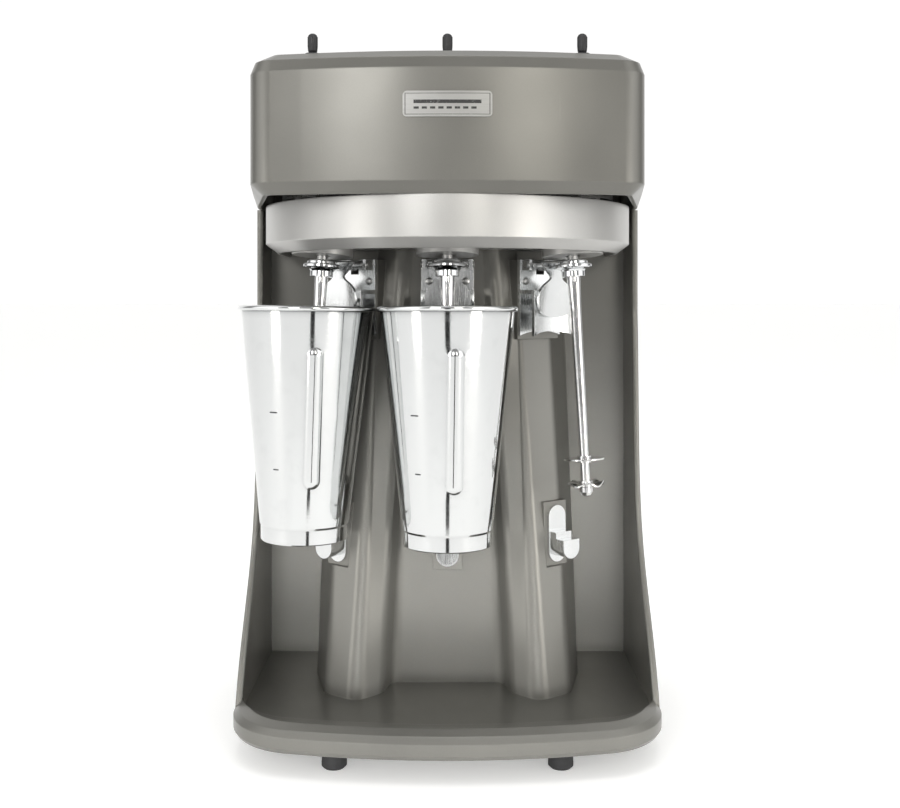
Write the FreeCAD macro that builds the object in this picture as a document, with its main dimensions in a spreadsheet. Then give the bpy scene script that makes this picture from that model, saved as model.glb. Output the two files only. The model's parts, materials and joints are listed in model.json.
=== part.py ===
"""Three-spindle milkshake mixer, as a parametric FreeCAD document.

Row frame: +Z up from the counter, -Y towards the person using it, +X to that person's right.
The origin is on the counter, under the middle of the machine. All sizes are millimetres and degrees.

Three drive stations stand round the column: left, centre and right. Each has an upright motor in the
head, a spindle that leans a little, an agitator, a cup guide with its switch lever, and a cup rest.
Cups hang at the left and centre stations.
"""
import FreeCAD, Part
import math
import os
import re
import Sketcher
from FreeCAD import Placement, Rotation, Vector

DIMENSIONS = [
    # whole machine
    ("half_wide", 157), ("half_deep", 116), ("wall", 3.5), ("clearance", 0.1),
    # rubber feet and base casting
    ("foot_tall", 17), ("foot_rad", 9), ("foot_x", 80), ("foot_front_y", -84), ("foot_back_y", 92),
    ("base_low", 16.6), ("skirt_top", 32), ("rim_crest", 35), ("tray_z", 26),
    ("base_corner_y", -96), ("base_corner_rad", 55), ("base_apex_y", -125.85), ("base_front_rad", 540),
    ("plate_thick", 1.5), ("sink_front", 27), ("sink_rad", 48), ("sink_flare", 8),
    # column: wing panels, centre panel, buttresses
    ("wing_y", 85), ("panel_y", 10), ("column_top", 369), ("stand_top", 403),
    ("flange_thick", 5), ("flange_top_y", 43),
    # rear cover and cord inlet
    ("cover_half", 106), ("cover_low", 36), ("cover_high", 392), ("cover_thick", 2),
    ("inlet_z", 62), ("inlet_bore", 4.2), ("inlet_rad", 9),
    # head cover
    ("head_top", 502), ("head_bevel", 14), ("head_under_bevel", 8), ("head_skin", 3),
    ("head_corner_x", 137), ("head_corner_rad", 20), ("head_apex_y", -125.05),
    # silver head tray
    ("tray_rad", 147), ("tray_arc_y", 40), ("tray_face_low", 373.4), ("tray_low", 366),
    ("tray_chamfer", 10), ("tray_floor", 369), ("tray_floor_thick", 4), ("tray_back_y", 84.5),
    # nameplate
    ("badge_half", 30.5), ("badge_low", 454), ("badge_high", 471.6), ("badge_thick", 0.8),
    # stations
    ("outer_x", 105.3), ("outer_y", -29), ("centre_y", -51), ("outer_turn", 35),
    ("spindle_lean", 5), ("cup_lean", 1.5), ("spindle_off", 15.9), ("boss_z", 363),
    # cups
    ("cup_tall", 174.5), ("rim_z", 324.5), ("cup_top_rad", 50), ("cup_low_rad", 32.5), ("cup_skin", 1.2),
    ("cup_foot", 11), ("cup_recess", 9), ("roll_rad", 2), ("flute_rad", 8), ("flute_low", 48),
    ("flute_high", 140), ("flute_proud", 2.4),
    # spindle and agitator, along the spindle's own axis
    ("shaft_rad", 4), ("shaft_play", 0.04), ("shaft_low", -10.5), ("shaft_top", 107),
    ("cap_top", -3), ("cap_rad", 11.6), ("brim_rad", 14.6), ("brim_top", -6.5), ("cap_low", -9.6), ("hub_rad", 9), ("hub_low", -16),
    ("stud_rad", 3), ("stud_top", -12), ("stem_top_rad", 5.2), ("stem_low_rad", 3.5), ("stem_low", -183),
    ("disc_upper_z", -155.5), ("disc_upper_rad", 15.2), ("disc_lower_z", -173.5), ("disc_lower_rad", 13.7),
    ("disc_thick", 1.2), ("disc_wave", 1.6),
    # motors, along the same axis
    ("boss_rad", 23.4), ("boss_hub_rad", 12), ("boss_bore", 6), ("motor_z", 15), ("motor_rad", 33),
    ("bracket_thick", 4), ("bearing_rad", 11), ("bearing_wide", 7), ("housing_rad", 14),
    ("stator_low", 40), ("stator_high", 78), ("core_rad", 18), ("core_gap", 0.8), ("coil_tall", 6),
    ("commutator_rad", 12), ("commutator_low", 84), ("commutator_high", 94), ("upper_z", 104),
    ("fan_rad", 23), ("fan_low", 27), ("fan_tall", 8), ("post_r", 28.5), ("post_rad", 4), ("bolt_rad", 2),
    ("grommet_r", 17), ("grommet_rad", 4.5), ("brush_z", 89), ("brush_half", 2.5),
    # guide, lever and rest
    ("guide_back_y", 57), ("guide_plate", 2.5), ("guide_half", 20.5), ("guide_low", 301), ("guide_top", 361),
    ("band_rad", 42), ("band_thick", 2.8), ("band_top", 319), ("window_half", 15.5), ("shelf_low", 334), ("shelf_top", 337),
    ("pivot_y", 47), ("pivot_z", 357), ("pin_rad", 1.5), ("knuckle_rad", 3.4), ("lobe_front_y", 33.4),
    ("lobe_thick", 2.6), ("finger_y", 47.4), ("finger_z", 325.5), ("finger_rad", 5), ("lever_free", 3),
    ("tail_y", 81), ("switch_y", 72), ("switch_top", 348.5), ("plunger_rad", 1.4), ("guide_screw_x", 14.5),
    ("guide_screw_z", 344),
    ("rest_half", 8.5), ("rest_back_y", 40.5), ("rest_plate", 2.5), ("rest_up", 19.5), ("rest_down", 24.5),
    ("step_half", 7.8), ("step_front_y", 30.5), ("step_top", -0.15), ("step_low", -7.6), ("nose_half", 8),
    ("nose_front_y", 21.7), ("nose_top", -5), ("nose_tall", 6.4),
    # toggle switches
    ("toggle_x", 97), ("toggle_y", -70), ("toggle_pivot_z", 500), ("toggle_tall", 521), ("bushing_rad", 6),
    ("bushing_bore", 4.2), ("nut_rad", 8.5), ("nut_tall", 2.5), ("bat_rad", 3.7), ("bat_low_rad", 2.2),
    ("trunnion_rad", 1),
]

doc = FreeCAD.newDocument("MilkshakeMixer")
sheet = doc.addObject("Spreadsheet::Sheet", "Dims")
for row, (alias, value) in enumerate(DIMENSIONS, 1):
    sheet.set(f"A{row}", alias)
    sheet.set(f"B{row}", str(value))
    sheet.setAlias(f"B{row}", alias)
doc.recompute()

NODES = {}
FUNCTIONS = ("sin", "cos", "tan")


def dim(alias):
    """A driving dimension's value, read from the sheet."""
    return float(sheet.get(alias))


def bound(text):
    """An expression on the sheet's cells, such as "cup_top_rad - cup_skin"."""
    return re.sub(r"[a-z]\w*", lambda m: m.group() if m.group() in FUNCTIONS else "Dims." + m.group(), str(text))


def keep(name, thing):
    """Names a finished sub-part: its label is its node."""
    thing.Label = name
    NODES[name] = thing
    return thing


# ---------------------------------------------------------------- building blocks

def outline(body, name, role, points, offset=None):
    """A closed sketch of straight sides, every corner bound to the sheet."""
    sketch = body.newObject("Sketcher::SketchObject", name)
    plane = [o for o in body.Origin.OriginFeatures if o.Role == role][0]
    sketch.AttachmentSupport = [(plane, "")]
    sketch.MapMode = "FlatFace"
    if offset is not None:
        sketch.setExpression("AttachmentOffset.Base.z", bound(offset))
    count = len(points)
    ring = [Vector(10 * math.cos(2 * math.pi * i / count), 10 * math.sin(2 * math.pi * i / count), 0)
            for i in range(count)]
    for i in range(count):
        sketch.addGeometry(Part.LineSegment(ring[i], ring[(i + 1) % count]), False)
    for i in range(count):
        sketch.addConstraint(Sketcher.Constraint("Coincident", i, 2, (i + 1) % count, 1))
    for i, (across, along) in enumerate(points):
        for kind, value, start in (("DistanceX", across, ring[i].x), ("DistanceY", along, ring[i].y)):
            k = sketch.addConstraint(Sketcher.Constraint(kind, -1, 1, i, 1, start))
            sketch.setExpression(f"Constraints[{k}]", bound(value))
    return sketch


def turned(name, profile, place=None):
    """A turned piece: its half section (radius, height) revolved about its own Z."""
    body = doc.addObject("PartDesign::Body", name)
    sketch = outline(body, name + "_section", "XZ_Plane", profile)
    turn = body.newObject("PartDesign::Revolution", name + "_turn")
    turn.Profile = sketch
    turn.ReferenceAxis = (sketch, ["V_Axis"])
    turn.Angle = 360
    if place is not None:
        body.Placement = place
    return body


def pressed(name, points, role, offset, thick, place=None):
    """A flat piece: an outline padded by thick from a plane of its own body."""
    body = doc.addObject("PartDesign::Body", name)
    sketch = outline(body, name + "_outline", role, points, offset)
    pad = body.newObject("PartDesign::Pad", name + "_pad")
    pad.Profile = sketch
    pad.setExpression("Length", bound(thick))
    if place is not None:
        body.Placement = place
    return body


def rod(name, radius, height, base=(0, 0, 0), axis=None, place=None):
    """A cylinder whose radius, height and base are bound to the sheet."""
    thing = doc.addObject("Part::Cylinder", name)
    thing.setExpression("Radius", bound(radius))
    thing.setExpression("Height", bound(height))
    set_place(thing, base, axis, place)
    return thing


def block(name, size, base=(0, 0, 0), axis=None, place=None):
    """A box whose three sides and lowest corner are bound to the sheet."""
    thing = doc.addObject("Part::Box", name)
    for side, value in zip(("Length", "Width", "Height"), size):
        thing.setExpression(side, bound(value))
    set_place(thing, base, axis, place)
    return thing


def set_place(thing, base, axis, place):
    """Binds a primitive's base to the sheet, or works its place out from a station's frame."""
    turn = Rotation(Vector(0, 0, 1), Vector(*axis)) if axis else Rotation()
    if place is None:
        thing.Placement = Placement(Vector(), turn)
        for letter, value in zip("xyz", base):
            thing.setExpression(f"Placement.Base.{letter}", bound(value))
        return
    spot = Vector(*[value if isinstance(value, (int, float)) else worth(value) for value in base])
    thing.Placement = place.multiply(Placement(spot, turn))


def worth(text):
    """The value of an expression on the sheet, found with a cell of the sheet itself."""
    sheet.set("D1", "=" + re.sub(r"Dims\.", "", bound(text)))
    sheet.recompute()
    value = float(sheet.get("D1"))
    sheet.clear("D1")
    return value


def cut(name, base, *tools):
    """base less every tool."""
    tool = tools[0] if len(tools) == 1 else fuse(name + "_tools", *tools)
    thing = doc.addObject("Part::Cut", name)
    thing.Base, thing.Tool = base, tool
    return thing


def fuse(name, *pieces):
    """All pieces as one solid."""
    thing = doc.addObject("Part::MultiFuse", name)
    thing.Shapes = list(pieces)
    thing.Refine = True
    return thing


def shared(name, *pieces):
    """What all the pieces have in common."""
    thing = doc.addObject("Part::MultiCommon", name)
    thing.Shapes = list(pieces)
    return thing


def group(name, pieces):
    """Several separate solids that share one node."""
    thing = doc.addObject("Part::Compound", name + "_group")
    thing.Links = list(pieces)
    return keep(name, thing)


def rounded(points, radii, height):
    """A closed wire at one height: straight sides joined by tangent arcs, one radius for each corner."""
    corners = [Vector(x, y, height) for x, y in points]
    count = len(corners)
    ends = []
    for i, corner in enumerate(corners):
        back = (corners[i - 1] - corner).normalize()
        ahead = (corners[(i + 1) % count] - corner).normalize()
        half = back.getAngle(ahead) / 2
        run = radii[i] / math.tan(half)
        middle = corner + (back + ahead).normalize() * (radii[i] / math.sin(half) - radii[i])
        ends.append((corner + back * run, middle, corner + ahead * run))
    edges = []
    for i, (start, middle, end) in enumerate(ends):
        edges.append(Part.Arc(start, middle, end).toShape())
        edges.append(Part.LineSegment(end, ends[(i + 1) % count][0]).toShape())
    return Part.Wire(edges)


def mirrored_points(right):
    """A closed outline from its right half, listed from the front to the back."""
    return right + [(-x, y) for x, y in reversed(right) if x > 0]


def mirrored_radii(right, points):
    """One radius for each corner of mirrored_points, in the same order."""
    return right + [r for r, (x, _) in reversed(list(zip(right, points))) if x > 0]


def feature(name, shape):
    """A sub-part whose shape is made with Part's own functions."""
    thing = doc.addObject("Part::Feature", name)
    thing.Shape = shape
    return keep(name, thing)


# ---------------------------------------------------------------- station frames

class Station:
    """One drive station: where its cup hangs, and the frames that its pieces are built in."""

    def __init__(self, name, side):
        self.name = name
        x, y = (side * dim("outer_x"), dim("outer_y")) if side else (0, dim("centre_y"))
        turn = Rotation(Vector(0, 0, 1), side * dim("outer_turn"))
        self.mount = Placement(Vector(x, y, 0), turn)
        lean = Rotation(Vector(1, 0, 0), -dim("spindle_lean"))
        self.spindle = self.mount.multiply(Placement(Vector(0, dim("spindle_off"), dim("boss_z")), lean))
        tilt = Rotation(Vector(1, 0, 0), -dim("cup_lean"))
        slope = math.radians(dim("cup_lean"))
        tall = dim("cup_tall")
        foot = Vector(0, -tall * math.sin(slope), dim("rim_z") - tall * math.cos(slope))
        self.cup = self.mount.multiply(Placement(foot, tilt))
        pivot = Vector(0, dim("pivot_y"), dim("pivot_z"))
        swing = 0 if side < 1 else dim("lever_free")
        self.lever = self.mount.multiply(Placement(pivot, Rotation(Vector(1, 0, 0), swing)))


STATIONS = [Station("left", -1), Station("centre", 0), Station("right", 1)]


# ---------------------------------------------------------------- stand

def front_wire(name, inset, height, sides=None):
    """A plan outline of the base or the head: a shallow front arc, round corners and a square back."""
    half, deep = dim("half_wide"), dim("half_deep")
    slope = math.atan2(dim("base_corner_y") - dim("base_apex_y"), half)
    flank = inset if sides is None else sides
    if name == "base":
        apex = dim("base_apex_y") + inset / math.cos(slope)
        reach = half - inset
        right = [(0, apex), (reach, apex + reach * math.tan(slope)), (reach, deep - inset)]
        radii = [dim("base_front_rad") - inset, dim("base_corner_rad") - inset, max(6 - inset, 1)]
    else:
        apex = dim("head_apex_y") + inset / math.cos(slope)
        reach = dim("head_corner_x") - inset
        right = [(0, apex), (reach, apex + reach * math.tan(slope)), (half - 1 - flank, 25),
                 (half - flank, deep - flank)]
        radii = [dim("base_front_rad") - inset, dim("head_corner_rad") - min(inset, 12), 200, max(6 - flank, 1)]
    return rounded(mirrored_points(right), mirrored_radii(radii, right), height)


def column_wire(level, inset, height):
    """The column's plan outline at level 0, the tray, or level 1, under the head."""
    panel = dim("panel_y")
    low = [(44, panel), (50, -14), (69, -32), (95, -14), (106, 32), (108, 87)]
    high = [(28, panel), (37, panel - 1), (55, panel + 9), (80, panel + 26), (96, 62), (99, 87)]
    radii = [9, 14, 13, 13, 18, 1]
    right = [(a[0] + (b[0] - a[0]) * level, a[1] + (b[1] - a[1]) * level) for a, b in zip(low, high)]
    wire = rounded(mirrored_points(right), mirrored_radii(radii, right), height)
    return wire if not inset else wire.makeOffset2D(-inset)


def column_solid(inset):
    """The column from the tray up to the head, leaning back as it rises."""
    low, high = dim("tray_z") - 3, dim("column_top")
    return Part.makeLoft([column_wire(0, inset, low), column_wire(1, inset, high)], True, True)


def flange_face():
    """A side flange's outline in its own plane: upright, then sweeping forward into the base."""
    back, top, low = dim("half_deep"), dim("stand_top"), dim("base_low") + 6
    front = dim("flange_top_y")
    curve = Part.BSplineCurve()
    curve.interpolate([Vector(0, front, 320), Vector(0, front - 7, 220), Vector(0, front - 25, 137),
                       Vector(0, front - 51, 96), Vector(0, front - 77, 60), Vector(0, front - 93, 30)])
    ends = [Vector(0, front - 93, low), Vector(0, back, low), Vector(0, back, top), Vector(0, front, top)]
    start, stop = curve.StartPoint, curve.EndPoint
    path = [curve.toShape(), Part.LineSegment(stop, ends[0]).toShape()]
    path += [Part.LineSegment(a, b).toShape() for a, b in zip(ends, ends[1:])]
    path.append(Part.LineSegment(ends[-1], start).toShape())
    return Part.Face(Part.Wire(path))


def side_flange(side):
    """One side wall of the stand, its front edge eased."""
    thick = dim("flange_thick")
    slab = flange_face().extrude(Vector(thick, 0, 0))
    slab.translate(Vector(dim("half_wide") - thick if side > 0 else -dim("half_wide"), 0, 0))
    front = [e for e in slab.Edges if e.BoundBox.YMax <= dim("flange_top_y") + 1 and e.BoundBox.ZLength > 50]
    return slab.makeFillet(thick / 2 - 0.4, front)


def base_solid():
    """The base: skirt, raised border and the sunken drip tray, hollow underneath."""
    low, skirt, crest = dim("base_low"), dim("skirt_top"), dim("rim_crest")
    shell = Part.makeLoft([front_wire("base", 2, low), front_wire("base", 0, low + 3),
                           front_wire("base", 0, skirt - 4), front_wire("base", 4, skirt),
                           front_wire("base", 11, crest)], True, True)
    tray = Part.makeLoft([sink_wire(0, dim("tray_z")), sink_wire(dim("sink_flare") * 0.4, dim("tray_z") + 3.5),
                          sink_wire(dim("sink_flare"), crest - 0.5), sink_wire(dim("sink_flare") + 6, crest + 4)],
                         True, True)
    gap = dim("wall") + 2
    under = Part.makeLoft([front_wire("base", gap, low - 1), front_wire("base", gap, dim("tray_z") - 3.5)],
                          True, True)
    return shell.cut(tray).cut(under)


def sink_wire(grow, height):
    """The drip tray's plan outline: set back from the base's front, and as wide as the side flanges allow."""
    slope = math.atan2(dim("base_corner_y") - dim("base_apex_y"), dim("half_wide"))
    reach = dim("half_wide") - dim("flange_thick")
    apex = dim("base_apex_y") + (dim("sink_front") - grow) / math.cos(slope)
    right = [(0, apex), (reach, apex + reach * math.tan(slope)), (reach, dim("wing_y") + 8)]
    radii = [dim("base_front_rad") - dim("sink_front") + grow, dim("sink_rad"), 1]
    return rounded(mirrored_points(right), mirrored_radii(radii, right), height)


def foot_spots():
    """The four places where feet are screwed up into the base."""
    return [(side * dim("foot_x"), y) for side in (-1, 1) for y in (dim("foot_front_y"), dim("foot_back_y"))]


def cover_spots():
    """Where the rear cover's screws go, as (x, z)."""
    low, high, x = dim("cover_low") + 8, dim("cover_high") - 8, dim("cover_half") - 4
    return [(side * x, z) for side in (-1, 1) for z in (low, (low + high) / 2, high)]


def post_spots():
    """Where the head cover's four screw posts stand on the head tray."""
    return [(side * x, y) for side in (-1, 1) for x, y in ((62, 66), (27, 30))]


def placed(shape, place):
    """shape, moved into a station's frame."""
    shape.Placement = place.multiply(shape.Placement)
    return shape


def slab(x, y, z):
    """A box from its three ranges."""
    return Part.makeBox(x[1] - x[0], y[1] - y[0], z[1] - z[0], Vector(x[0], y[0], z[0]))


def drill(radius, base, axis, length):
    """A round bar, for a hole or a boss."""
    return Part.makeCylinder(radius, length, Vector(*base), Vector(*axis))


def rest_screw_seat(station):
    """How far behind a cup's axis the inner face is that the rest's screws bear on."""
    return 70 if station.name == "centre" else dim("rest_back_y") + 10


def stand_casting():
    """Base, column, wing panels, side flanges and bracket pads, cast in one piece, open at the back."""
    half, wall, wing = dim("half_wide"), dim("wall"), dim("wing_y")
    low, top, guide, rest = dim("tray_z") - 3, dim("stand_top"), dim("guide_back_y"), dim("rest_back_y")
    solid = base_solid().fuse([slab((-half + 1, half - 1), (wing, wing + wall), (low, top)), column_solid(0),
                               side_flange(-1), side_flange(1)])
    up, down, wide = dim("rest_up") + 3, -dim("rest_down") - 3, dim("guide_half") + 0.5
    pads = []
    reliefs = []
    bosses = []
    holes = []
    for station in STATIONS:
        pads.append(placed(slab((-11.5, 11.5), (rest, rest + 30), (down, up)), station.cup))
        pads.append(placed(slab((-wide, wide), (guide, guide + 22), (298, 361)), station.mount))
        reliefs.append(placed(slab((-11.5, 11.5), (rest - 8, rest), (down, up)), station.cup))
        reliefs.append(placed(slab((-wide, wide), (guide - 8, guide), (298, 361)), station.mount))
        bosses.append(placed(slab((-9, 9), (rest + 0.5, rest_screw_seat(station)), (-20, 16)), station.cup))
        bosses.append(placed(slab((-19, 19), (guide + 2, dim("switch_y")), (319, 361)), station.mount))
        holes.append(placed(slab((-4, 4), (guide - 1, dim("switch_y") + 8), (349.5, 362)), station.mount))
        for z in (-12, 12):
            holes.append(placed(drill(1.6, (0, rest - 1, z), (0, 1, 0), 60), station.cup))
        for x in (-dim("guide_screw_x"), dim("guide_screw_x")):
            spot = (x, guide - 1, dim("guide_screw_z"))
            holes.append(placed(drill(1.6, spot, (0, 1, 0), 12), station.mount))
    hollow = column_solid(wall).cut(slab((-200, 200), (-200, 200), (0, dim("tray_z") + 3.5)))
    back = slab((-98, 98), (wing - 12, wing + 12), (dim("cover_low") + 10, dim("column_top") + 10))
    upper = slab((-98, 98), (wing - 12, wing + 12), (dim("column_top") - 5, dim("column_top") + 14))
    solid = solid.fuse(pads).cut(hollow).fuse(bosses).cut(reliefs + [back, upper])
    posts = [drill(7, (x, y, dim("foot_tall") + dim("plate_thick")), (0, 0, 1), 6) for x, y in foot_spots()]
    holes += [drill(2.1, (x, y, 10), (0, 0, 1), 13) for x, y in foot_spots()]
    holes += [drill(1.6, (x, wing - 8, z), (0, 1, 0), 20) for x, z in cover_spots()]
    return feature("stand_casting", solid.fuse(posts).cut(holes).removeSplitter())


def rear_cover():
    """The pressed cover over the column's open back, with cooling slots and the cord inlet's hole."""
    half, low, high = dim("cover_half"), dim("cover_low"), dim("cover_high")
    base = dim("wing_y") + dim("wall")
    sheet_metal = slab((-half, half), (base, base + dim("cover_thick")), (low, high))
    corners = [e for e in sheet_metal.Edges if e.BoundBox.YLength > 1.5]
    sheet_metal = sheet_metal.makeFillet(8, corners)
    cuts = [drill(dim("inlet_rad") + 0.1, (0, base - 1, dim("inlet_z")), (0, 1, 0), 6)]
    cuts += [drill(1.7, (x, base - 1, z), (0, 1, 0), 6) for x, z in cover_spots()]
    for row in range(8):
        for side in (-1, 1):
            z = 250 + row * 15
            cuts.append(slab((side * 45 - 28, side * 45 + 28), (base - 1, base + 5), (z, z + 4)))
    return feature("rear_cover", sheet_metal.cut(cuts))


def base_plate():
    """The flat plate that closes the base underneath."""
    gap = dim("wall") + 2.4
    flat = Part.Face(front_wire("base", gap, dim("foot_tall"))).extrude(Vector(0, 0, dim("plate_thick")))
    holes = [drill(2.1, (x, y, 10), (0, 0, 1), 15) for x, y in foot_spots()]
    return feature("base_plate", flat.cut(holes))


stand_casting()
rear_cover()
base_plate()

feet = []
foot_screws = []
for i, (x, y) in enumerate(foot_spots()):
    spot = Placement(Vector(x, y, 0), Rotation())
    feet.append(turned(f"Foot{i}", [("bolt_rad + clearance", 6.5), ("5", 6.5), ("5", 0), ("foot_rad - 1.5", 0),
                                    ("foot_rad", 1.5), ("foot_rad", 4), ("foot_rad - 1", "foot_tall"),
                                    ("bolt_rad + clearance", "foot_tall")], spot))
    foot_screws.append(turned(f"FootScrew{i}", [(0, 3), ("3.6", 3), ("4", 3.6), ("4", 6.5), ("bolt_rad", 6.5),
                                                ("bolt_rad", 22), (0, 22)], spot))
group("rubber_feet", feet)
group("foot_screws", foot_screws)

# cord inlet: a flanged bush through the rear cover, clamped by a nut inside
inlet = Placement(Vector(0, dim("wing_y") + dim("wall") + dim("cover_thick"), dim("inlet_z")),
                  Rotation(Vector(1, 0, 0), -90))
bush = turned("InletBush", [("inlet_bore", -10), ("inlet_rad", -10), ("inlet_rad", 0), ("inlet_rad + 3", 0),
                            ("inlet_rad + 3", 2.5), ("inlet_rad", 3.5), ("inlet_bore + 2.5", 12),
                            ("inlet_bore", 12)], inlet)
ring = turned("InletNut", [("inlet_rad + clearance", -6), ("inlet_rad + 4", -6), ("inlet_rad + 4", -2),
                           ("inlet_rad + clearance", -2)], inlet)
group("cord_inlet_bush", [bush, ring])

# ---------------------------------------------------------------- head

def tray_wire(inset, height):
    """The head tray's plan outline: a half circle in front, straight sides and a square back."""
    rad, y, back = dim("tray_rad") - inset, dim("tray_arc_y"), dim("tray_back_y")
    edges = [Part.Arc(Vector(rad, y, height), Vector(0, y - rad, height), Vector(-rad, y, height)).toShape()]
    path = [Vector(-rad, y, height), Vector(-rad, back, height), Vector(rad, back, height), Vector(rad, y, height)]
    edges += [Part.LineSegment(a, b).toShape() for a, b in zip(path, path[1:])]
    return Part.Wire(edges)


def boss_core(station, radius, top=30):
    """A bar on a spindle's own axis, through the head tray's floor."""
    return placed(Part.makeCylinder(radius, top + 20, Vector(0, 0, -20)), station.spindle)


def head_tray():
    """The silver tray under the head: a band with a bevelled lower edge, and the floor that carries the motors."""
    low, face, top = dim("tray_low"), dim("tray_face_low"), dim("stand_top")
    floor, thick, chamfer = dim("tray_floor"), dim("tray_floor_thick"), dim("tray_chamfer")
    outer = Part.makeLoft([tray_wire(chamfer, low), tray_wire(0, face)], True, True)
    outer = outer.fuse(Part.Face(tray_wire(0, face)).extrude(Vector(0, 0, top - face)))
    inner = Part.Face(tray_wire(3, floor + thick)).extrude(Vector(0, 0, top))
    under = Part.Face(tray_wire(chamfer + 1.5, low - 1)).extrude(Vector(0, 0, floor - low + 1))
    under = under.fuse(slab((-132, 132), (40, 100), (low - 1, floor)))
    cuts = [inner, under]
    for station in STATIONS:
        cuts.append(boss_core(station, dim("boss_hub_rad") + 0.1))
        for x in (-dim("grommet_r"), dim("grommet_r")):
            cuts.append(placed(Part.makeCylinder(dim("bolt_rad") + 0.1, 40, Vector(x, 0, -10)), station.spindle))
    cuts += [drill(2.1, (x, y, floor - 5), (0, 0, 1), 20) for x, y in post_spots()]
    return feature("head_tray", outer.cut(cuts).removeSplitter())


def spindle_bosses():
    """The three round bosses under the head tray that the motor shafts come out of."""
    below = slab((-200, 200), (-200, 200), (300, dim("tray_floor")))
    bosses = []
    for station in STATIONS:
        flange = boss_core(station, dim("boss_rad")).common(below)
        flange = flange.cut(placed(slab((-40, 40), (-40, 40), (-30, 0)), station.spindle))
        hub = placed(Part.makeCylinder(dim("boss_hub_rad"), dim("motor_z") - 2, Vector(0, 0, 2)), station.spindle)
        bore = placed(Part.makeCylinder(dim("boss_bore"), 40, Vector(0, 0, -10)), station.spindle)
        holes = [placed(Part.makeCylinder(dim("bolt_rad") + 0.1, 20, Vector(x, 0, 1.5)), station.spindle)
                 for x in (-dim("grommet_r"), dim("grommet_r"))]
        bosses.append(flange.fuse(hub).cut([bore] + holes).removeSplitter())
    return feature("spindle_bosses", Part.makeCompound(bosses))


def head_shell(inset):
    """The head cover's outside at inset 0, or the space inside it at its skin's thickness."""
    low, top, bevel, under = dim("stand_top"), dim("head_top"), dim("head_bevel"), dim("head_under_bevel")
    levels = [(under + inset, low, 2 + inset), (inset, low + 8, inset), (inset, top - bevel, inset),
              (inset + 3, top - bevel / 2 + 1 - inset / 2, inset + 2), (bevel + inset / 2, top - inset, 8 + inset)]
    wires = [front_wire("head", away, height, sides) for away, height, sides in levels]
    return Part.makeLoft(wires, True, True)


def head_cover():
    """The grey head cover over the motors: a shell open underneath, with switch holes and rear vents."""
    skin, low, floor = dim("head_skin"), dim("stand_top"), dim("tray_floor") + dim("tray_floor_thick")
    core = head_shell(skin)
    core = core.fuse(Part.Face(front_wire("head", 8 + skin, low, 2 + skin)).extrude(Vector(0, 0, -5)))
    solid = head_shell(0).cut(core)
    posts = [drill(5, (x, y, floor), (0, 0, 1), dim("head_top") - floor - 2) for x, y in post_spots()]
    holes = [drill(2.1, (x, y, floor - 1), (0, 0, 1), 16) for x, y in post_spots()]
    for x in (-dim("toggle_x"), 0, dim("toggle_x")):
        holes.append(drill(dim("bushing_rad") + 0.1, (x, dim("toggle_y"), dim("head_top") - 20), (0, 0, 1), 40))
    for column in range(-5, 6):
        holes.append(slab((column * 18 - 5, column * 18 + 5), (dim("half_deep") - 8, dim("half_deep") + 8),
                          (430, 462)))
    return feature("head_cover", solid.fuse(posts).cut(holes).removeSplitter())


def nameplate():
    """A thin blank plate that follows the curve of the head's front."""
    rad, y = dim("base_front_rad"), head_front_y() + dim("base_front_rad")
    low, high, half = dim("badge_low"), dim("badge_high"), dim("badge_half")
    band = drill(rad + dim("badge_thick"), (0, y, low), (0, 0, 1), high - low)
    band = band.cut(drill(rad, (0, y, low), (0, 0, 1), high - low))
    plate = band.common(slab((-half, half), (-130, -90), (low, high)))
    corners = [e for e in plate.Edges if e.BoundBox.YLength > 0.5 and e.BoundBox.XLength < 0.5]
    return feature("nameplate", plate.makeFillet(3, corners))


def head_front_y():
    """Where the head's front arc meets the middle of the machine."""
    slope = math.atan2(dim("base_corner_y") - dim("base_apex_y"), dim("half_wide"))
    return dim("head_apex_y") + dim("base_front_rad") * (1 / math.cos(slope) - 1)


head_tray()
spindle_bosses()
head_cover()
nameplate()

screws = []
for i, (x, z) in enumerate(cover_spots()):
    spot = Placement(Vector(x, dim("wing_y") + dim("wall") + dim("cover_thick"), z), Rotation(Vector(1, 0, 0), -90))
    screws.append(turned(f"CoverScrew{i}", [(0, -9), ("1.5", -9), ("1.5", 0), ("3.3", 0), ("3", 1.6), ("1.6", 2.3),
                                            (0, 2.5)], spot))
for i, (x, y) in enumerate(post_spots()):
    spot = Placement(Vector(x, y, 0), Rotation())
    screws.append(turned(f"HeadScrew{i}", [(0, "tray_floor - 2.6"), ("3", "tray_floor - 2.6"),
                                           ("3.8", "tray_floor - 1.6"), ("3.8", "tray_floor"),
                                           ("bolt_rad", "tray_floor"), ("bolt_rad", "tray_floor + 17"),
                                           (0, "tray_floor + 17")], spot))
group("cover_screws", screws)

# ---------------------------------------------------------------- motors

def flat_piece(name, solid):
    """A finished solid, kept as one object of the document."""
    thing = doc.addObject("Part::Feature", name)
    thing.Shape = solid
    return thing


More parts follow.
